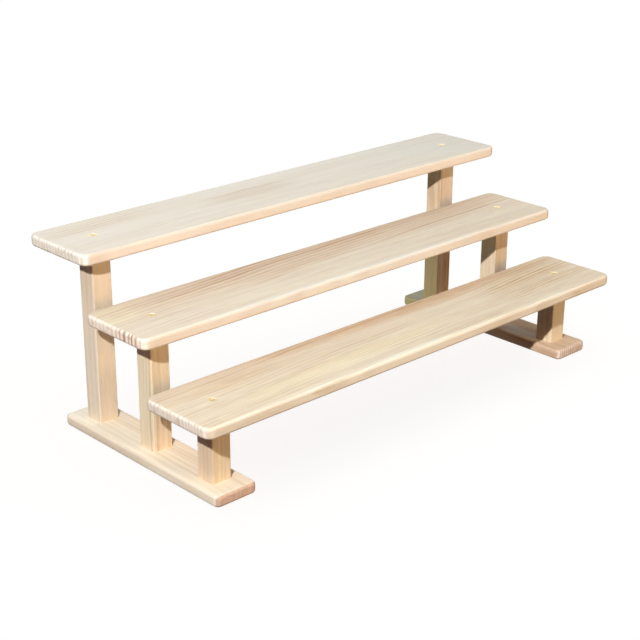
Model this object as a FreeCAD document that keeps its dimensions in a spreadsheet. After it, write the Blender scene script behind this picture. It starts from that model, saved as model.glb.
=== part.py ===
import FreeCAD, Part
import os
import Sketcher

# A small three-tier display riser of pine: three planks stand like stair treads on six square posts,
# and the posts stand on two flat rails. Every joint is a countersunk wood screw: six go down through
# the planks into the tops of the posts, and six go up through the rails into their feet.
#
# Frame: millimetres, +X along the planks, +Y from the low front plank to the high back plank, +Z up.
# The origin is on the table, under the middle of the riser.

DRIVING_DIMENSIONS = {
    "plank_length": 400,
    "plank_width": 64,
    "plank_thickness": 8,
    "plank_corner": 7,        # radius of the plank's corners, seen from above
    "plank_edge": 2.2,        # round-over along the plank's top and bottom edges
    "tier_overlap": 4,        # each plank reaches this far over the one below it
    "lower_height": 62,       # table to the top of the lower plank
    "tier_rise": 39,          # top of one plank to the top of the next
    "post_side": 15,
    "post_edge": 0.8,         # easing of the post's four long edges
    "post_inset": 30,         # end of the plank to the middle of the post
    "rail_width": 33,
    "rail_thickness": 8,
    "rail_overhang": 15,      # rail left in front of and behind the outer posts
    "rail_corner": 4,         # radius of the rail's corners, seen from above
    "rail_edge": 2.2,         # round-over along the rail's top and bottom edges
    "screw_length": 25,
    "screw_head": 6,
    "screw_rim": 0.35,        # height of the head's straight edge, above its cone
    "head_angle": 90,         # degrees across the head's cone and its countersink
    "screw_shank": 2.2,
    "screw_core": 1.9,
    "screw_thread": 3,
    "screw_pitch": 1.35,
    "screw_point": 3.5,       # length of the tapered tip
    "thread_run": 16,         # length of the thread above the tip's taper
    "thread_root": 0.7,       # thickness of the thread where it leaves the core
    "thread_crest": 0.12,     # thickness of the thread at its sharp outer edge
    "thread_sink": 0.1,       # depth of the thread's root inside the core
    "drive_span": 3.2,        # cross recess in the head, tip to tip
    "drive_slot": 0.8,
    "drive_depth": 1.3,
    "plank_recess": 0.3,      # plank screws' heads lie this far below the wood
    "rail_recess": 1.0,       # rail screws' heads, so that they never touch the table
    "shank_clearance": 0.1,   # gap round the thread where it passes through a plank or a rail
    "head_clearance": 0.05,   # gap round the head in its countersink
    "pilot_spare": 0.5,       # pilot hole left beyond the screw's point
}

TIERS = ("lower", "middle", "upper")
SIDES = {"left": -1, "right": 1}

# Sizes that follow from the driving dimensions.
TIER_PITCH = "(Sizes.plank_width - Sizes.tier_overlap)"
POST_X = "(Sizes.plank_length / 2 - Sizes.post_inset)"
RAIL_LENGTH = f"(2 * {TIER_PITCH} + Sizes.post_side + 2 * Sizes.rail_overhang)"
HEAD_CONE = "((Sizes.screw_head - Sizes.screw_shank) / 2 / tan(Sizes.head_angle / 2))"
PLANK_GRIP = "(Sizes.plank_thickness - Sizes.plank_recess)"
RAIL_GRIP = "(Sizes.rail_thickness - Sizes.rail_recess)"
ROUND_OVER_LIMIT = 0.45    # a round-over takes at most this share of its board's thickness

Vector = FreeCAD.Vector
UP = Vector(0, 0, 1)
HORIZONTAL_AXIS, VERTICAL_AXIS = -1, -2    # the sketch's own axes, as Sketcher numbers them
START, END, CENTRE = 1, 2, 3               # the points of a sketch line or circle
TOLERANCE = 0.01                           # an edge that spans less than this does not leave its plane

doc = FreeCAD.newDocument("DisplayRiser")
sheet = doc.addObject("Spreadsheet::Sheet", "Sizes")
for row, (alias, size) in enumerate(DRIVING_DIMENSIONS.items(), start=1):
    sheet.set(f"A{row}", alias)
    sheet.set(f"B{row}", str(size))
    sheet.setAlias(f"B{row}", alias)
doc.recompute()


def evaluate(expression):
    """The present value of an expression of the sheet."""
    return float(sheet.evalExpression(expression))


def new_body(label, x="0", y="0", z="0", rotation=None):
    """A body at a place given by expressions, turned first by the rotation."""
    body = doc.addObject("PartDesign::Body", label)
    body.Label = label
    if rotation:
        body.Placement.Rotation = rotation
    for axis, place in zip("xyz", (x, y, z)):
        body.setExpression(f".Placement.Base.{axis}", place)
    return body


def new_sketch(body, name, role, offset="0"):
    """A sketch on one of the body's origin planes, lifted off it by an expression."""
    sketch = body.newObject("Sketcher::SketchObject", f"{body.Name}_{name}")
    plane = next(item for item in body.Origin.OriginFeatures if item.Role == role)
    sketch.AttachmentSupport = [(plane, "")]
    sketch.MapMode = "FlatFace"
    sketch.setExpression(".AttachmentOffset.Base.z", offset)
    return sketch


def new_feature(body, kind, name, sketch=None, **sizes):
    """A PartDesign feature whose sizes are bound to expressions."""
    feature = body.newObject(f"PartDesign::{kind}", f"{body.Name}_{name}")
    if sketch:
        feature.Profile = (sketch, [""])
    for size, expression in sizes.items():
        feature.setExpression(size, expression)
    return feature


def dimension(sketch, kind, *where, size):
    """A sketch dimension bound to an expression."""
    index = sketch.addConstraint(Sketcher.Constraint(kind, *where, evaluate(size)))
    sketch.setExpression(f"Constraints[{index}]", size)


def closed_outline(sketch, corners):
    """Lines from corner to corner and back to the first, joined at their ends."""
    count = len(corners)
    for number, corner in enumerate(corners):
        sketch.addGeometry(Part.LineSegment(corner, corners[(number + 1) % count]))
    for number in range(count):
        sketch.addConstraint(Sketcher.Constraint("Coincident", number, END, (number + 1) % count, START))


def centred_rectangle(sketch, width, depth):
    """A rectangle about the sketch's origin."""
    x = evaluate(width) / 2
    y = evaluate(depth) / 2
    closed_outline(sketch, [Vector(-x, -y, 0), Vector(x, -y, 0), Vector(x, y, 0), Vector(-x, y, 0)])
    for line in (0, 2):
        sketch.addConstraint(Sketcher.Constraint("Horizontal", line))
        sketch.addConstraint(Sketcher.Constraint("Vertical", line + 1))
    sketch.addConstraint(Sketcher.Constraint("Symmetric", 0, START, 2, START, HORIZONTAL_AXIS, START))
    dimension(sketch, "DistanceX", 0, START, 0, END, size=width)
    dimension(sketch, "DistanceY", 1, START, 1, END, size=depth)


def drill(body, name, level, centres, diameter, depth=None, upward=False, **sizes):
    """Round holes bored from a level at points on the body's X or Y axis."""
    sketch = new_sketch(body, f"{name}_centres", "XY_Plane", level)
    for along, place in centres:
        offset = evaluate(place)
        point = Vector(offset, 0, 0) if along == "X" else Vector(0, offset, 0)
        circle = sketch.addGeometry(Part.Circle(point, UP, evaluate(diameter) / 2))
        dimension(sketch, "Diameter", circle, size=diameter)
        axis = HORIZONTAL_AXIS if along == "X" else VERTICAL_AXIS
        if offset:
            sketch.addConstraint(Sketcher.Constraint("PointOnObject", circle, CENTRE, axis))
            dimension(sketch, f"Distance{along}", HORIZONTAL_AXIS, START, circle, CENTRE, size=place)
        else:
            sketch.addConstraint(Sketcher.Constraint("Coincident", circle, CENTRE, HORIZONTAL_AXIS, START))
    doc.recompute()
    hole = new_feature(body, "Hole", name, sketch)
    hole.ThreadType = "None"
    hole.Reversed = upward
    hole.setExpression("Diameter", diameter)
    if depth:
        hole.DepthType = "Dimension"
        hole.DrillPoint = "Flat"
        hole.setExpression("Depth", depth)
    else:
        hole.DepthType = "ThroughAll"
    if sizes:
        hole.HoleCutType = "Counterdrill"
        hole.HoleCutCustomValues = True
        for size, expression in sizes.items():
            hole.setExpression(size, expression)
    doc.recompute()


def screw_holes(body, name, level, centres, recess, upward=False):
    """Clearance holes whose countersinks take the screws' heads below the surface."""
    drill(
        body, name, level, centres, "Sizes.screw_thread + 2 * Sizes.shank_clearance", upward=upward,
        HoleCutDiameter="Sizes.screw_head + 2 * Sizes.head_clearance",
        HoleCutDepth=f"{recess} + Sizes.screw_rim", HoleCutCountersinkAngle="Sizes.head_angle",
    )


def edges_where(body, test):
    """Names of the edges of the body's latest shape that pass the test."""
    doc.recompute()
    return [f"Edge{number}" for number, edge in enumerate(body.Tip.Shape.Edges, start=1) if test(edge)]


def round_edges(body, name, test, radius):
    """A fillet along the edges that pass the test."""
    names = edges_where(body, test)
    base = body.Tip
    fillet = new_feature(body, "Fillet", name, Radius=radius)
    fillet.Base = (base, names)
    doc.recompute()


def is_upright(edge):
    """True for an edge that runs along Z from end to end."""
    box = edge.BoundBox
    return max(box.XLength, box.YLength) < TOLERANCE


def is_level(edge):
    """True for an edge that lies in a horizontal plane."""
    return edge.BoundBox.ZLength < TOLERANCE


def rounded_board(body, length, width, part):
    """A flat board about the body's Z axis, with rounded corners and rounded-over edges."""
    thickness = f"Sizes.{part}_thickness"
    outline = new_sketch(body, "outline", "XY_Plane")
    centred_rectangle(outline, length, width)
    new_feature(body, "Pad", "board", outline, Length=thickness)
    round_edges(body, "corners", is_upright, f"Sizes.{part}_corner")
    round_edges(body, "round_over", is_level, f"min(Sizes.{part}_edge; {ROUND_OVER_LIMIT} * {thickness})")


def make_plank(tier, label):
    """A tread with two countersunk holes, its top face at its tier's height."""
    body = new_body(
        label, y=f"{tier - 1} * {TIER_PITCH}",
        z=f"Sizes.lower_height + {tier} * Sizes.tier_rise - Sizes.plank_thickness",
    )
    rounded_board(body, "Sizes.plank_length", "Sizes.plank_width", "plank")
    centres = [("X", f"{side} * {POST_X}") for side in SIDES.values()]
    screw_holes(body, "screw_holes", "Sizes.plank_thickness", centres, "Sizes.plank_recess")
    return body


def make_rail(side, label):
    """A flat foot that lies on the table under one row of posts, countersunk from below."""
    body = new_body(label, x=f"{side} * {POST_X}")
    rounded_board(body, "Sizes.rail_width", RAIL_LENGTH, "rail")
    centres = [("Y", f"{tier - 1} * {TIER_PITCH}") for tier in range(len(TIERS))]
    screw_holes(body, "screw_holes", "0", centres, "Sizes.rail_recess", upward=True)
    return body


def make_post(tier, side, label):
    """A square post from rail to plank, with a pilot hole in its top and one in its foot."""
    body = new_body(
        label, x=f"{side} * {POST_X}", y=f"{tier - 1} * {TIER_PITCH}", z="Sizes.rail_thickness",
    )
    plank_underside = f"Sizes.lower_height + {tier} * Sizes.tier_rise - Sizes.plank_thickness"
    height = f"({plank_underside} - Sizes.rail_thickness)"
    section = new_sketch(body, "section", "XY_Plane")
    centred_rectangle(section, "Sizes.post_side", "Sizes.post_side")
    new_feature(body, "Pad", "stick", section, Length=height)
    round_edges(body, "eased_edges", is_upright, "Sizes.post_edge")
    middle = [("X", "0")]
    spare = "Sizes.screw_length + Sizes.pilot_spare"
    drill(body, "top_pilot", height, middle, "Sizes.screw_core", depth=f"{spare} - {PLANK_GRIP}")
    drill(body, "foot_pilot", "0", middle, "Sizes.screw_core", depth=f"{spare} - {RAIL_GRIP}", upward=True)
    return body


def make_screw(label, x, y, z, rotation=None):
    """A countersunk wood screw with a cross recess: its head's top at the place, its point below."""
    body = new_body(label, x, y, z, rotation)
    turned_blank(body)
    span, slot = "Sizes.drive_span", "Sizes.drive_slot"
    for name, length, width in (("slot_x", span, slot), ("slot_y", slot, span)):
        sketch = new_sketch(body, name, "XY_Plane")
        centred_rectangle(sketch, length, width)
        new_feature(body, "Pocket", f"{name}_cut", sketch, Length="Sizes.drive_depth")
    thread(body)
    return body


def turned_blank(body):
    """Head, shank, core and point, turned in one piece."""
    head = evaluate("Sizes.screw_head") / 2
    shank = evaluate("Sizes.screw_shank") / 2
    core = evaluate("Sizes.screw_core") / 2
    rim = evaluate("Sizes.screw_rim")
    cone = rim + evaluate(HEAD_CONE)
    tip = evaluate("Sizes.screw_length")
    taper = tip - evaluate("Sizes.screw_point")
    shoulder = taper - evaluate("Sizes.thread_run")
    profile = new_sketch(body, "profile", "XZ_Plane")
    closed_outline(profile, [
        Vector(0, 0, 0), Vector(head, 0, 0), Vector(head, -rim, 0), Vector(shank, -cone, 0),
        Vector(shank, -shoulder, 0), Vector(core, -shoulder, 0), Vector(core, -taper, 0), Vector(0, -tip, 0),
    ])
    profile.addConstraint(Sketcher.Constraint("Coincident", 0, START, HORIZONTAL_AXIS, START))
    for level in (0, 4):
        profile.addConstraint(Sketcher.Constraint("Horizontal", level))
    for upright in (1, 3, 5, 7):
        profile.addConstraint(Sketcher.Constraint("Vertical", upright))
    for line, part in ((0, "head"), (2, "shank"), (5, "core")):
        dimension(profile, "DistanceX", HORIZONTAL_AXIS, START, line, END, size=f"Sizes.screw_{part} / 2")
    depths = {
        1: "-Sizes.screw_rim",
        2: f"-Sizes.screw_rim - {HEAD_CONE}",
        3: "Sizes.screw_point + Sizes.thread_run - Sizes.screw_length",
        5: "Sizes.screw_point - Sizes.screw_length",
        6: "-Sizes.screw_length",
    }
    for line, depth in depths.items():
        dimension(profile, "DistanceY", HORIZONTAL_AXIS, START, line, END, size=depth)
    blank = new_feature(body, "Revolution", "blank", profile)
    blank.ReferenceAxis = (profile, ["V_Axis"])
    blank.Angle = 360


def thread(body):
    """A sharp single-start thread wound round the core, from the taper up towards the head."""
    sunk = evaluate("Sizes.screw_core / 2 - Sizes.thread_sink")
    crest = evaluate("Sizes.screw_thread / 2")
    root = evaluate("Sizes.thread_root")
    slope = evaluate("(Sizes.thread_root - Sizes.thread_crest) / 2")
    low = evaluate("Sizes.screw_point - Sizes.screw_length")
    tooth = new_sketch(body, "tooth", "XZ_Plane")
    closed_outline(tooth, [
        Vector(sunk, low, 0), Vector(crest, low + slope, 0),
        Vector(crest, low + root - slope, 0), Vector(sunk, low + root, 0),
    ])
    for upright in (1, 3):
        tooth.addConstraint(Sketcher.Constraint("Vertical", upright))
    origin = (HORIZONTAL_AXIS, START)
    dimension(tooth, "DistanceX", *origin, 0, START, size="Sizes.screw_core / 2 - Sizes.thread_sink")
    dimension(tooth, "DistanceX", *origin, 1, START, size="Sizes.screw_thread / 2")
    dimension(tooth, "DistanceY", *origin, 0, START, size="Sizes.screw_point - Sizes.screw_length")
    dimension(tooth, "DistanceY", 0, START, 0, END, size="(Sizes.thread_root - Sizes.thread_crest) / 2")
    dimension(tooth, "DistanceY", 1, START, 1, END, size="Sizes.thread_crest")
    dimension(tooth, "DistanceY", 0, START, 2, END, size="Sizes.thread_root")
    helix = new_feature(body, "AdditiveHelix", "thread", tooth)
    helix.ReferenceAxis = (tooth, ["V_Axis"])
    helix.Mode = "pitch-height-angle"
    helix.setExpression("Pitch", "Sizes.screw_pitch")
    helix.setExpression("Height", "Sizes.thread_run - Sizes.thread_root")


HEAD_DOWN = FreeCAD.Rotation(Vector(1, 0, 0), 180)

sub_parts = []
for tier, tier_name in enumerate(TIERS):
    sub_parts.append(make_plank(tier, f"{tier_name}_plank"))
for side_name, side in SIDES.items():
    sub_parts.append(make_rail(side, f"{side_name}_rail"))
    for tier, tier_name in enumerate(TIERS):
        name = f"{side_name}_{tier_name}"
        x = f"{side} * {POST_X}"
        y = f"{tier - 1} * {TIER_PITCH}"
        plank_top = f"Sizes.lower_height + {tier} * Sizes.tier_rise"
        sub_parts.append(make_post(tier, side, f"{name}_post"))
        sub_parts.append(make_screw(f"{name}_plank_screw", x, y, f"{plank_top} - Sizes.plank_recess"))
        sub_parts.append(make_screw(f"{name}_rail_screw", x, y, "Sizes.rail_recess", HEAD_DOWN))
doc.recompute()

for item in doc.Objects:
    if {"Invalid", "Error"} & set(item.State):
        raise RuntimeError(f"{item.Label} did not build: {item.State}")
for body in sub_parts:
    if body.Shape.isNull() or not body.Shape.isValid() or len(body.Shape.Solids) != 1:
        raise RuntimeError(f"{body.Label} is not one valid solid")

os.makedirs("parts", exist_ok=True)
for body in sub_parts:
    body.Shape.exportStep(f"parts/{body.Label}.step")
    box = body.Shape.BoundBox
    print(f"{body.Label:30s} {body.Shape.Volume:11.1f} mm3  {box.XMin:8.2f} {box.XMax:8.2f} "
          f"{box.YMin:8.2f} {box.YMax:8.2f} {box.ZMin:8.2f} {box.ZMax:8.2f}")
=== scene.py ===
# %% [markdown]
# A small display riser of pale pine: three planks stepped like stair treads, six square posts, two flat
# rails on the table, and twelve countersunk screws. The solids come from the CAD model and are right as
# they are, so this scene gives them what CAD can't: timber that was cut out of a tree, yellow zinc on the
# screws, a light and a camera.

# %% Load the CAD model
import math

import bpy
from mathutils import Matrix, Vector


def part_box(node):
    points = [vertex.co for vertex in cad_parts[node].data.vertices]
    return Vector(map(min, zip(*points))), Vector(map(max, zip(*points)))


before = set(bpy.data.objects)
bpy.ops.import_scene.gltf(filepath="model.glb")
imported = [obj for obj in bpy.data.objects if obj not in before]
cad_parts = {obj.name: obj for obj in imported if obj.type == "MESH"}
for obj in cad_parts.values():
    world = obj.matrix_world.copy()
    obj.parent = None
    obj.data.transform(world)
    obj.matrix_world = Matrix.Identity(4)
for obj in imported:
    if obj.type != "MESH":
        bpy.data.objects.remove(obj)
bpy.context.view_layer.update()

MM = 0.001


# %% [markdown]
# Every board of the riser is named after its place, so the names can be worked out in two short loops.
# A plank's grain runs along X, a rail's along Y, and a post's straight up.

# %% Names of the pieces
TIERS = ("lower", "middle", "upper")
SIDES = ("left", "right")
planks = [f"{tier}_plank" for tier in TIERS]
rails = [f"{side}_rail" for side in SIDES]
posts = [f"{side}_{tier}_post" for side in SIDES for tier in TIERS]
screws = [f"{side}_{tier}_{board}_screw" for side in SIDES for tier in TIERS for board in ("plank", "rail")]
print(len(planks), "planks,", len(rails), "rails,", len(posts), "posts,", len(screws), "screws")


def node_object(node):
    """The Blender object of a CAD node."""
    return bpy.data.objects[node]


# %% [markdown]
# The camera stands to the left of the riser and a little above it, and looks down at the stepped planks.
# A long lens keeps them nearly parallel. A heading, a dip and a small roll are easier to read and to
# change than a ready-made matrix, so the rotation is put together from those three turns.

# %% Camera
CAMERA_PLACE = Vector((-674.1, -685.2, 434.9)) * MM
CAMERA_HEADING = math.radians(43.60)    # clockwise from +Y, seen from above
CAMERA_DIP = math.radians(21.76)
CAMERA_ROLL = math.radians(0.32)
CAMERA_LENS = 80.16                     # mm, on a 36 mm sensor

camera = bpy.data.objects.new("camera", bpy.data.cameras.new("camera"))
bpy.context.scene.collection.objects.link(camera)
bpy.context.scene.camera = camera
camera.data.sensor_width = 36
camera.data.lens = CAMERA_LENS
camera.data.clip_start = 0.01
turn = Matrix.Rotation(-CAMERA_HEADING, 4, "Z")
tilt = Matrix.Rotation(math.pi / 2 - CAMERA_DIP, 4, "X")
roll = Matrix.Rotation(CAMERA_ROLL, 4, "Z")
camera.matrix_world = Matrix.Translation(CAMERA_PLACE) @ turn @ tilt @ roll
print("camera to the middle of the riser:", round(CAMERA_PLACE.length, 3), "m")

# %% [markdown]
# A shader is easiest to follow when it reads like a formula. `Value` wraps one output of a node, and its
# operators add Math nodes, so `1 - ring * 0.5` builds the nodes for just that. `Shader.add` makes every
# other kind of node: first its settings, then the numbers or links of its sockets.

# %% Shader helpers
class Value:
    """One output of a shader node, ready for arithmetic."""

    def __init__(self, shader, socket):
        self.shader = shader
        self.socket = socket

    def __add__(self, other):
        return self.shader.maths("ADD", self, other)

    def __sub__(self, other):
        return self.shader.maths("SUBTRACT", self, other)

    def __rsub__(self, other):
        return self.shader.maths("SUBTRACT", other, self)

    def __mul__(self, other):
        return self.shader.maths("MULTIPLY", self, other)

    def __truediv__(self, other):
        return self.shader.maths("DIVIDE", self, other)

    def __pow__(self, other):
        return self.shader.maths("POWER", self, other)

    def __abs__(self):
        return self.shader.maths("ABSOLUTE", self)

    __radd__ = __add__
    __rmul__ = __mul__


class Shader:
    """The node tree of one material, light or world."""

    def __init__(self, owner):
        owner.use_nodes = True
        self.tree = owner.node_tree
        self.tree.nodes.clear()

    def add(self, kind, settings=None, values=None, output=0):
        """Adds a node, sets it up, fills or links its sockets, and gives back one of its outputs."""
        node = self.tree.nodes.new(f"ShaderNode{kind}")
        for setting, choice in (settings or {}).items():
            setattr(node, setting, choice)
        for socket, value in (values or {}).items():
            if isinstance(value, Value):
                self.tree.links.new(value.socket, node.inputs[socket])
            else:
                node.inputs[socket].default_value = value
        return Value(self, node.outputs[output]) if node.outputs else None

    def maths(self, operation, *operands):
        return self.add("Math", {"operation": operation}, dict(enumerate(operands)))

    def ease(self, value, low, high):
        """0 below low, 1 above high, and a smooth step between."""
        return self.add(
            "MapRange", {"interpolation_type": "SMOOTHSTEP"},
            {"Value": value, "From Min": low, "From Max": high},
        )

    def blend(self, amount, first, second, how="MIX"):
        """Two colours mixed by an amount."""
        settings = {"data_type": "RGBA", "blend_type": how}
        first, second = [colour if isinstance(colour, Value) else (*colour, 1) for colour in (first, second)]
        return self.add("Mix", settings, {0: amount, 6: first, 7: second}, output=2)

    def noise(self, place, lengths, seed, detail=2.0, roughness=0.5):
        """Noise whose lumps are as long as the three lengths, in mm. It varies about 0.5."""
        stretched = [coordinate / length for coordinate, length in zip(place, lengths)]
        vector = self.add("CombineXYZ", values={0: stretched[0] + seed, 1: stretched[1], 2: stretched[2]})
        return self.add(
            "TexNoise", {"noise_dimensions": "3D"},
            {"Vector": vector, "Scale": 1.0, "Detail": detail, "Roughness": roughness},
        )


def new_material(name):
    """An empty material and its shader."""
    material = bpy.data.materials.new(name)
    return material, Shader(material)


print("shader helpers ready")

# %% [markdown]
# Pine is a solid pattern, not a picture glued on a face. A tree adds a cylinder of wood each year, pale in
# spring and darker in late summer, and a board is a stick cut out of those cylinders. So the material works
# out, for each point inside the board, how far it lies from the pith of the tree: the same rings then show
# as long lines on the faces and as stripes on the sawn ends, and they meet at the edges. The pith lies
# outside the board. It wanders, and it can lean along the board, which makes the lines drift.

# %% Annual rings
GRAIN_AXES = {"X": (0, 1, 2), "Y": (1, 0, 2), "Z": (2, 0, 1)}    # along the grain, across, through
DRIFT_LENGTHS = (190, 75, 75)           # mm, the length of one wander of the pith
RIPPLE_LENGTHS = (30, 8, 8)             # mm, the small waves of each line
RIPPLE_HEIGHT = 0.9                     # mm
UNEVEN_LENGTH = 15                      # mm, how far one pace of growth lasts
UNEVEN_YEARS = 1.3                      # how many years that moves the lines
LINE_BUILDS_UP = (0.12, 0.80)           # parts of a year
LINE_STOPS = (0.84, 1.0)


def board_place(shader, node, grain):
    """Distances in mm from the board's middle: along its grain, across it and through it."""
    low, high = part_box(node)
    middle = [(start + end) / 2 / MM for start, end in zip(low, high)]
    place = shader.add("TexCoord", output="Object")
    in_mm = shader.add("VectorMath", {"operation": "SCALE"}, {0: place, "Scale": 1 / MM})
    centred = shader.add("VectorMath", {"operation": "SUBTRACT"}, {0: in_mm, 1: middle})
    return [shader.add("SeparateXYZ", values={0: centred}, output=axis) for axis in GRAIN_AXES[grain]]


def summer_wood(shader, place, pith, lean, wander, spacing, seed):
    """The dark summer line of each year, and how strong that year's line is, both from 0 to 1."""
    along, across, through = place
    drift = shader.noise(place, DRIFT_LENGTHS, seed, detail=1) - 0.5
    ripple = shader.noise(place, RIPPLE_LENGTHS, seed + 3, detail=2) - 0.5
    off_across = across - pith[0] - along * lean + drift * wander
    off_through = through - pith[1]
    distance = (off_across ** 2 + off_through ** 2) ** 0.5 + ripple * RIPPLE_HEIGHT
    uneven = shader.add(
        "TexNoise", {"noise_dimensions": "1D"},
        {"W": distance / UNEVEN_LENGTH + seed, "Scale": 1.0, "Detail": 1.0},
    )
    count = distance / spacing + uneven * UNEVEN_YEARS
    season = shader.maths("FRACT", count)
    year = shader.maths("FLOOR", count)
    good_year = shader.add("TexWhiteNoise", {"noise_dimensions": "1D"}, {"W": year + seed})
    line = shader.ease(season, *LINE_BUILDS_UP) * (1 - shader.ease(season, *LINE_STOPS))
    return line, good_year * good_year


print("annual rings ready")

# %% [markdown]
# Boards also differ in patches: heartwood, or sap that turned yellow. Other patches are painted light and
# shade. A patch is a long soft oval whose edge frays along the grain. One that is centred just past the edge
# of a board tints that side, and a few mm of the faces beside it.

# %% Patches
FRAY = 1.1
PATCH_EDGE = (0.30, 1.20)


def patch(shader, place, streak, middle, size, slope):
    """1 inside a long soft oval on the faces of a board, 0 outside, with edges that fray along the grain."""
    along, across = place[:2]
    off_along = (along - middle[0]) / size[0]
    off_across = (across - middle[1] - (along - middle[0]) * slope) / size[1]
    reach = (off_along ** 2 + off_across ** 2) ** 0.5 + (streak - 0.5) * FRAY
    return 1 - shader.ease(reach, *PATCH_EDGE)


print("patches ready")

# %% [markdown]
# A planed face shows the rings, fibres at a fine and a coarse size, which are noise stretched along the
# grain, and resin canals, which are short thin dashes. The rings fade in and out along the board, and some
# years leave a stronger line than others. A light yellow mottle breaks up what is left.

# %% Planed faces
RESIN = (0.36, 0.20, 0.09)
YELLOW = (0.84, 0.70, 0.44)
BAND_LENGTHS = (260, 6.5, 6.5)          # mm along, across and through the board, here and below
FADING_LENGTHS = (75, 11, 11)
CANAL_LENGTHS = (2.4, 0.20, 0.20)
MOTTLE_LENGTHS = (16, 3, 3)
WEAKEST_YEAR = 0.45                     # strength of the faintest line, beside 1 for the strongest
BAND_STRENGTH = 0.5
STREAK_STRENGTH = 0.45
CANAL_STRENGTH = 0.30
MOTTLE_STRENGTH = 0.18
FIBRE_SHADE = 0.20
STREAK_SHADE = 0.10


def planed_face(shader, place, rings, fibres, seed, pale, late, bold, patches):
    """The colour and the relief of a planed face."""
    line, good_year = rings
    fibre, streak = fibres
    band = shader.noise(place, BAND_LENGTHS, seed + 9, detail=1)
    fading = shader.ease(shader.noise(place, FADING_LENGTHS, seed + 11, detail=1), 0.30, 0.66)
    canals = shader.ease(shader.noise(place, CANAL_LENGTHS, seed + 13, detail=0), 0.73, 0.80)
    mottle = shader.noise(place, MOTTLE_LENGTHS, seed + 21, detail=2)

    boldness = fading * bold
    colour = shader.blend(shader.ease(band, 0.35, 0.75) * BAND_STRENGTH * bold, pale, late)
    for middle, size, slope, tint, strength, extra in patches:
        mask = patch(shader, place, streak, middle, size, slope)
        colour = shader.blend(mask * strength, colour, tint)
        boldness = boldness + mask * extra
    ring = line * (good_year * (1 - WEAKEST_YEAR) + WEAKEST_YEAR)
    colour = shader.blend(shader.maths("MINIMUM", ring * boldness, 1.0), colour, late)
    colour = shader.blend(shader.ease(streak, 0.48, 0.80) * STREAK_STRENGTH * bold, colour, late)
    colour = shader.blend(canals * CANAL_STRENGTH, colour, RESIN)
    colour = shader.blend(shader.ease(mottle, 0.42, 0.72) * MOTTLE_STRENGTH, colour, YELLOW)
    shade = 1 + (fibre - 0.5) * FIBRE_SHADE + (streak - 0.5) * STREAK_SHADE
    colour = shader.add("VectorMath", {"operation": "SCALE"}, {0: colour, "Scale": shade})
    return colour, line * 0.020 + fibre * 0.035 - canals * 0.03


print("planed faces ready")

# %% [markdown]
# The sawn ends are drawn apart. There the saw cut across the fibres, so they are rougher and show pores and
# saw marks. One stretch of an end can have bolder rings than the rest.

# %% Sawn ends
PORE_LENGTHS = (0.5, 0.16, 0.16)
SAW_MARK_LENGTHS = (0.7, 3.2, 0.20)
BLOTCH_LENGTHS = (30, 5, 5)
WEAKEST_END_YEAR = 0.55
BLOTCH_STRENGTH = 0.35
OFF_FOCUS_FADE = 0.75                   # how much of the rings goes outside the bold stretch


def sawn_end(shader, place, rings, seed, pale, late, bold, focus):
    """The colour and the relief of a sawn end. The focus is the bold stretch's place and half width in mm."""
    line, good_year = rings
    pores = shader.noise(place, PORE_LENGTHS, seed + 15, detail=2)
    saw_marks = shader.noise(place, SAW_MARK_LENGTHS, seed + 17, detail=1)
    blotch = shader.noise(place, BLOTCH_LENGTHS, seed + 19, detail=2)
    ring = shader.ease(line, 0.35, 0.80) * (good_year * (1 - WEAKEST_END_YEAR) + WEAKEST_END_YEAR) * bold
    if focus:
        off_focus = abs(place[1] - focus[0]) / focus[1] + (blotch - 0.5) * 0.8
        ring = ring * (1 - shader.ease(off_focus, 0.5, 1.3) * OFF_FOCUS_FADE)
    colour = shader.blend(shader.maths("MINIMUM", ring, 1.0), pale, late)
    colour = shader.blend(shader.ease(blotch, 0.45, 0.75) * BLOTCH_STRENGTH, colour, late)
    shade = 1 + (pores - 0.5) * 0.30 + (saw_marks - 0.5) * 0.20
    colour = shader.add("VectorMath", {"operation": "SCALE"}, {0: colour, "Scale": shade})
    return colour, pores * 0.05 + saw_marks * 0.03 - line * 0.02


print("sawn ends ready")

# %% [markdown]
# `pine` puts the two together. A surface counts as sawn end where it is turned along the grain. Planed
# surfaces turned to the front of the riser are also made a touch darker and cooler. That last step is painted
# shade, only a choice for the look of this scene in its own light: it isn't something that pine does.

# %% Timber
# Painted shade for the planed faces turned to the front.
FRONT_FACE_SHADE = (0.87, 0.90, 0.94)
FIBRE_LENGTHS = (14, 0.30, 0.30)
STREAK_LENGTHS = (80, 1.5, 1.5)
PLANED_ROUGHNESS = 0.56
SHEEN = 0.25


def finish_node(node, material):
    """Puts the material in every slot of a CAD node."""
    mesh = node_object(node).data
    if not mesh.materials:
        mesh.materials.append(material)
    for slot in range(len(mesh.materials)):
        mesh.materials[slot] = material


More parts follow.
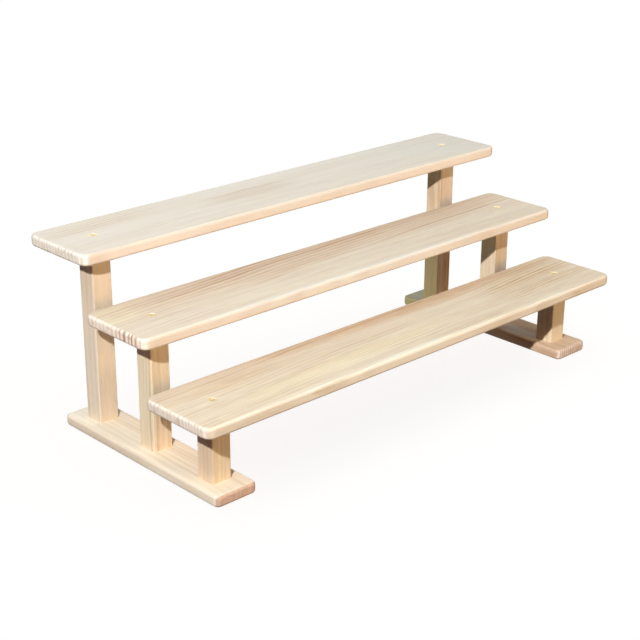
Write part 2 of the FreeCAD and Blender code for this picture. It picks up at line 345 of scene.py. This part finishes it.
def pine(node, grain, pith, pale, late, bold, spacing=2.8, lean=0.0, wander=14.0, seed=1.0,
         patches=(), end_pale=(0.78, 0.66, 0.53), end_late=(0.40, 0.25, 0.15), end_bold=0.5, end_focus=None):
    """Timber for one board. A patch is (middle, size, slope, colour, strength, extra boldness of rings)."""
    material, shader = new_material(f"pine_{node}")
    place = board_place(shader, node, grain)
    rings = summer_wood(shader, place, pith, lean, wander, spacing, seed)
    fibre = shader.noise(place, FIBRE_LENGTHS, seed + 5, detail=3, roughness=0.65)
    streak = shader.noise(place, STREAK_LENGTHS, seed + 7, detail=2, roughness=0.6)
    colour, relief = planed_face(shader, place, rings, (fibre, streak), seed, pale, late, bold, patches)
    end_colour, end_relief = sawn_end(shader, place, rings, seed, end_pale, end_late, end_bold, end_focus)

    normal = shader.add("NewGeometry", output="Normal")
    facing = shader.add("SeparateXYZ", values={0: normal}, output=GRAIN_AXES[grain][0])
    sawn = shader.ease(abs(facing), 0.30, 0.62)
    # Painted shade: planed faces turned to the front are made darker and cooler.
    forward = shader.add("SeparateXYZ", values={0: normal}, output=1) * -1
    colour = shader.blend(shader.ease(forward, 0.35, 0.95), colour, FRONT_FACE_SHADE, how="MULTIPLY")
    colour = shader.blend(sawn, colour, end_colour)
    height = relief * (1 - sawn) + end_relief * sawn
    bump = shader.add("Bump", values={"Strength": 0.8, "Distance": MM, "Height": height})
    surface = shader.add("BsdfPrincipled", values={
        "Base Color": colour,
        "Roughness": PLANED_ROUGHNESS + (fibre - 0.5) * 0.16 - rings[0] * 0.06 + sawn * 0.16,
        "Specular IOR Level": SHEEN,
        "Normal": bump,
    })
    shader.add("OutputMaterial", values={"Surface": surface})
    finish_node(node, material)


print("timber ready")

# %% [markdown]
# Each board is cut from its own spot in the log. The planks are quartersawn: the pith lies far to one side,
# so the rings stand nearly upright in the thickness and the top shows fine, straight lines. Places on a board
# are in mm from its middle. The upper plank is the palest, with bolder lines near its middle and at the back
# left, and a darker, greyer right end, which is painted shade with a cool painted sheen. The middle plank is
# browner over its back half, and the lower one along its back edge, with heartwood. The last patch of each
# plank recolours its front edge: painted light and shade on the rounded edge, darker on the upper plank and
# lighter and cooler on the other two. Like the front tint above, these are choices for the look.

# %% Planks
HEART = (0.60, 0.385, 0.235)
# Painted light and shade: the place of each plank's recoloured front edge.
FRONT_EDGE_LIGHT_AND_SHADE = ((0, -31), (230, 4), 0.0)

pine("upper_plank", "X", pith=(120, -3), pale=(0.775, 0.652, 0.538), late=(0.56, 0.365, 0.235), bold=0.34,
     spacing=3.1, lean=0.02, seed=1.3, end_pale=(0.86, 0.80, 0.685), end_bold=0.32,
     patches=[((-29, 2), (46, 12), 0.02, HEART, 0.06, 1.1),
              ((-150, 20), (60, 14), 0.08, YELLOW, 0.12, 0.75),
              # Painted shade with a cool painted sheen: the darker, greyer right end.
              ((180, 4), (120, 40), 0.0, (0.68, 0.61, 0.52), 0.5, 0.1),
              # Painted shade on the front edge, darker.
              (*FRONT_EDGE_LIGHT_AND_SHADE, (0.70, 0.60, 0.485), 0.9, 0.0)])
pine("middle_plank", "X", pith=(96, 3), pale=(0.725, 0.588, 0.450), late=(0.49, 0.282, 0.170), bold=0.38,
     spacing=4.1, lean=0.055, seed=4.7, end_pale=(0.90, 0.77, 0.63), end_late=(0.28, 0.15, 0.08),
     end_bold=0.85, end_focus=(-14, 13),
     patches=[((-65, 17), (140, 18), 0.05, HEART, 0.20, 1.00),
              ((90, 16), (130, 18), 0.03, HEART, 0.24, 0.60),
              ((-40, 4), (70, 4), 0.04, HEART, 0.30, 0.20),
              ((-190, 14), (24, 20), 0.0, YELLOW, 0.35, 0.0),
              # Painted light on the front edge, lighter and cooler.
              (*FRONT_EDGE_LIGHT_AND_SHADE, (0.715, 0.645, 0.55), 0.9, 0.0)])
pine("lower_plank", "X", pith=(-110, 2), pale=(0.685, 0.555, 0.418), late=(0.49, 0.295, 0.150), bold=0.52,
     spacing=3.3, lean=0.045, seed=8.1, end_pale=(0.80, 0.71, 0.59), end_bold=0.30,
     patches=[((15, 26), (170, 10), 0.0, HEART, 0.70, 0.50),
              ((-140, 14), (40, 10), 0.0, HEART, 0.25, 0.20),
              ((150, 6), (60, 26), 0.10, HEART, 0.22, 0.70),
              ((-60, -12), (120, 9), 0.03, YELLOW, 0.35, 0.10),
              # Painted light on the front edge, lighter and cooler.
              (*FRONT_EDGE_LIGHT_AND_SHADE, (0.765, 0.69, 0.56), 0.9, 0.0)])
print("planks finished")

# %% [markdown]
# The right rail is darker and redder than the left one. Its patches are painted light and shade: painted
# shade makes its left side brown, painted light puts a pale stretch between its first two posts, and a
# painted greenish bounce of light turns its back part green. The left rail's sawn ends are brown, and the
# right one's are greyer. The brown side, the pale stretch and the green are choices for the look in this
# light.

# %% Rails
# A greenish bounce of light, painted on the wood.
GREEN_BOUNCE_LIGHT = (0.66, 0.62, 0.40)
pine("left_rail", "Y", pith=(-70, 8), pale=(0.780, 0.685, 0.548), late=(0.49, 0.33, 0.175), bold=0.52,
     spacing=4.2, seed=11.9, end_pale=(0.52, 0.36, 0.27), end_late=(0.32, 0.19, 0.13), end_bold=0.25)
pine("right_rail", "Y", pith=(80, -2), pale=(0.620, 0.465, 0.330), late=(0.38, 0.235, 0.145), bold=0.50,
     spacing=2.6, seed=14.2, end_pale=(0.59, 0.50, 0.45), end_late=(0.32, 0.19, 0.13), end_bold=0.95,
     # Painted shade: the left side, brown.
     patches=[((0, -20), (130, 5), 0.0, (0.40, 0.22, 0.13), 0.75, 0.3),
              # Painted light: a pale stretch of the top between the first two posts.
              ((-30, -8), (34, 10), 0.0, (0.98, 0.88, 0.80), 0.95, 0.0),
              # Painted greenish bounce light: the back part.
              ((60, 0), (40, 40), 0.0, GREEN_BOUNCE_LIGHT, 0.60, 0.0)])
print("rails finished")

# %% [markdown]
# No two posts are quite alike. Those on the right are on average a shade darker and less yellow, two on the
# left have a yellow streak of sap, and the tall right one has a dark foot, which is painted shade. Patches
# about
# 10 mm left of the middle tint the left face: painted light makes it lighter on two left posts, and painted
# shade makes it darker on the right posts. They and the dark foot are choices for the look.

# %% Posts
# Painted shade for the foot of the tall right post.
FOOT_SHADE = (0.30, 0.155, 0.07)
FIRST_SEED = 20.3
SEED_STEP = 3.1
# The wood of each post, with patches of painted light and shade.
POST_WOOD_AND_PAINTED_LIGHT = {
    "left_lower": ((-30, -26), (0.700, 0.550, 0.385), 0.48, [
        ((-8, -2), (40, 4), 0.0, YELLOW, 0.5, 0.2)]),
    "left_middle": ((26, 34), (0.775, 0.640, 0.450), 0.66, [
        # Painted light: the left face, lighter.
        ((0, -9), (70, 3), 0.02, (0.82, 0.73, 0.53), 0.8, 0.2)]),
    "left_upper": ((-38, 20), (0.705, 0.570, 0.415), 0.28, [
        ((10, -3), (90, 2), 0.01, YELLOW, 0.25, 0.15),
        # Painted light: the left face, lighter.
        ((-10, -10), (90, 4), 0.0, (0.84, 0.78, 0.67), 0.7, 0.2)]),
    "right_lower": ((30, -26), (0.700, 0.595, 0.430), 0.40, [
        # Painted shade: the left face, darker.
        ((0, -10), (60, 5), 0.0, (0.64, 0.53, 0.40), 0.9, 0.2)]),
    "right_middle": ((-26, 34), (0.625, 0.515, 0.375), 0.62, [
        ((0, -3), (60, 2), 0.02, HEART, 0.6, 0.5),
        # Painted shade: the left face, darker.
        ((0, -10), (80, 4), 0.0, (0.53, 0.46, 0.36), 0.8, 0.2)]),
    "right_upper": ((38, 20), (0.670, 0.540, 0.400), 0.50, [
        # Painted shade: these two patches make the dark foot.
        ((-25, 0), (46, 12), 0.0, HEART, 0.5, 0.2),
        ((-36, 5), (38, 10), 0.0, FOOT_SHADE, 0.95, 0.3),
        # Painted shade: the upper part of the left face, darker.
        ((35, -10), (36, 5), 0.0, (0.45, 0.355, 0.26), 0.95, 0.5)]),
}
for number, (place_name, (pith, pale, bold, patches)) in enumerate(POST_WOOD_AND_PAINTED_LIGHT.items()):
    pine(f"{place_name}_post", "Z", pith=pith, pale=pale, late=(0.46, 0.29, 0.16), bold=bold, spacing=2.9,
         seed=FIRST_SEED + SEED_STEP * number, patches=patches)
print("posts finished")

# %% [markdown]
# The screws are finished as steel with a thin coat of yellow zinc, pale gold with cloudy patches of a darker
# gold. Metallic is only partly up, so that the heads keep some of their own colour and don't mirror the room.

# %% Screws
def yellow_zinc():
    """Yellow zinc plating, a little cloudy, with fine turning marks."""
    material, shader = new_material("yellow_zinc")
    place = shader.add("TexCoord", output="Object")
    cloud = shader.add("TexNoise", values={"Vector": place, "Scale": 900.0, "Detail": 3.0})
    scratch = shader.add("TexNoise", values={"Vector": place, "Scale": 5200.0, "Detail": 2.0})
    colour = shader.blend(shader.ease(cloud, 0.35, 0.70), (0.95, 0.80, 0.50), (0.86, 0.66, 0.34))
    bump = shader.add("Bump", values={"Strength": 0.35, "Distance": 0.02 * MM, "Height": scratch})
    surface = shader.add("BsdfPrincipled", values={
        "Base Color": colour, "Metallic": 0.6, "Roughness": 0.40 + cloud * 0.20, "Normal": bump,
    })
    shader.add("OutputMaterial", values={"Surface": surface})
    return material


zinc = yellow_zinc()
for screw in screws:
    finish_node(screw, zinc)
print("screws finished")

# %% [markdown]
# The riser stands on a plain pale table top. Most of the table's brightness is its own glow, so that it stays
# evenly pale, and the wood sees it only as a faint reflection. The lamps don't reach it, only the dome does.

# %% Floor
FLOOR_HALF = 6.0                        # m
TABLE_COLOUR = (0.24, 0.18, 0.145, 1)
TABLE_GLOW = (1.0, 0.99, 0.98, 1)
GLOW_STRENGTH = 0.92
floor_mesh = bpy.data.meshes.new("floor")
corners = [(-FLOOR_HALF, -FLOOR_HALF, 0), (FLOOR_HALF, -FLOOR_HALF, 0),
           (FLOOR_HALF, FLOOR_HALF, 0), (-FLOOR_HALF, FLOOR_HALF, 0)]
floor_mesh.from_pydata(corners, [], [(0, 1, 2, 3)])
floor = bpy.data.objects.new("floor", floor_mesh)
bpy.context.scene.collection.objects.link(floor)
floor.visible_diffuse = False
floor_material, floor_shader = new_material("pale_table")
floor_surface = floor_shader.add("BsdfPrincipled", values={
    "Base Color": TABLE_COLOUR, "Roughness": 0.9, "Specular IOR Level": 0.1,
    "Emission Color": TABLE_GLOW, "Emission Strength": GLOW_STRENGTH,
})
floor_shader.add("OutputMaterial", values={"Surface": floor_surface})
floor_mesh.materials.append(floor_material)
print("floor is", 2 * FLOOR_HALF, "m wide")

# %% [markdown]
# Four lights and a dome, as in a small studio. The key is a small lamp close by on the left: being near, it
# throws longer shadows under the high plank than under the low one, and being small, it gives them a clear
# edge. Its falloff is set to constant, so the far end is not left in the dark. A warm panel in front fills
# the shadows on the front faces, and a second one behind keeps the back readable. A tiny greenish light, low
# by the right rail, brightens the foot of the tall right post and is there only for the look. The dome is
# cool overhead and warm near the horizon, and it looks plain and pale to the camera.

# %% Light
KEY_COLOUR = (1.0, 0.981, 0.968, 1)
KEY_STRENGTH = 53.0
OVERHEAD = (0.85, 1.31, 1.62)
HORIZON = (0.275, 0.062, 0.010)
BACKDROP = (0.95, 0.94, 0.93)
riser_only = bpy.data.collections.new("riser_only")
for node in planks + rails + posts + screws:
    riser_only.objects.link(node_object(node))


def new_light(name, kind, place, watts, colour, size, aim=(0, 0, 0.07)):
    """A lamp that lights the riser and not the table. Places and sizes are in m."""
    lamp = bpy.data.lights.new(name, kind)
    lamp.color = colour
    holder = bpy.data.objects.new(name, lamp)
    bpy.context.scene.collection.objects.link(holder)
    holder.location = place
    holder.rotation_euler = (Vector(aim) - Vector(place)).to_track_quat("-Z", "Y").to_euler()
    holder.light_linking.receiver_collection = riser_only
    lamp.energy = watts
    if kind == "AREA":
        lamp.size = size
    else:
        lamp.shadow_soft_size = size
    holder.visible_camera = False
    return lamp


key = new_light("key_lamp", "POINT", (-0.565, -0.343, 0.420), watts=1.0, colour=(1.0, 1.0, 1.0), size=0.008)
key_shader = Shader(key)
falloff = key_shader.add("LightFalloff", values={"Strength": KEY_STRENGTH}, output="Constant")
emission = key_shader.add("Emission", values={"Color": KEY_COLOUR, "Strength": falloff})
key_shader.add("OutputLight", values={"Surface": emission})

new_light("front_panel", "AREA", (0.50, -1.42, 0.46), watts=13.8, colour=(1.0, 0.705, 0.385), size=0.6)
new_light("back_panel", "AREA", (0.80, 1.25, 0.60), watts=5.0, colour=(0.97, 0.94, 0.89), size=1.2)
new_light("foot_lamp", "AREA", (0.10, 0.09, 0.02), watts=0.022, colour=(0.90, 1.0, 0.60), size=0.05,
          aim=(0.165, 0.065, 0.04))

world = bpy.data.worlds.new("dome")
bpy.context.scene.world = world
dome = Shader(world)
direction = dome.add("TexCoord", output="Generated")
rise = dome.add("SeparateXYZ", values={0: direction}, output=2)
near_horizon = dome.ease(rise, -0.15, 0.05) * (1 - dome.ease(rise, 0.15, 0.45))
sky = dome.blend(dome.ease(rise, 0.52, 1.0), (0.0, 0.0, 0.0), OVERHEAD)
sky = dome.blend(near_horizon, sky, HORIZON, how="ADD")
to_camera = dome.add("LightPath", output="Is Camera Ray")
sky = dome.blend(to_camera, sky, BACKDROP)
background = dome.add("Background", values={"Color": sky, "Strength": 1.0})
dome.add("OutputWorld", values={"Surface": background})
bpy.context.scene.view_settings.view_transform = "Standard"
print("lights ready")
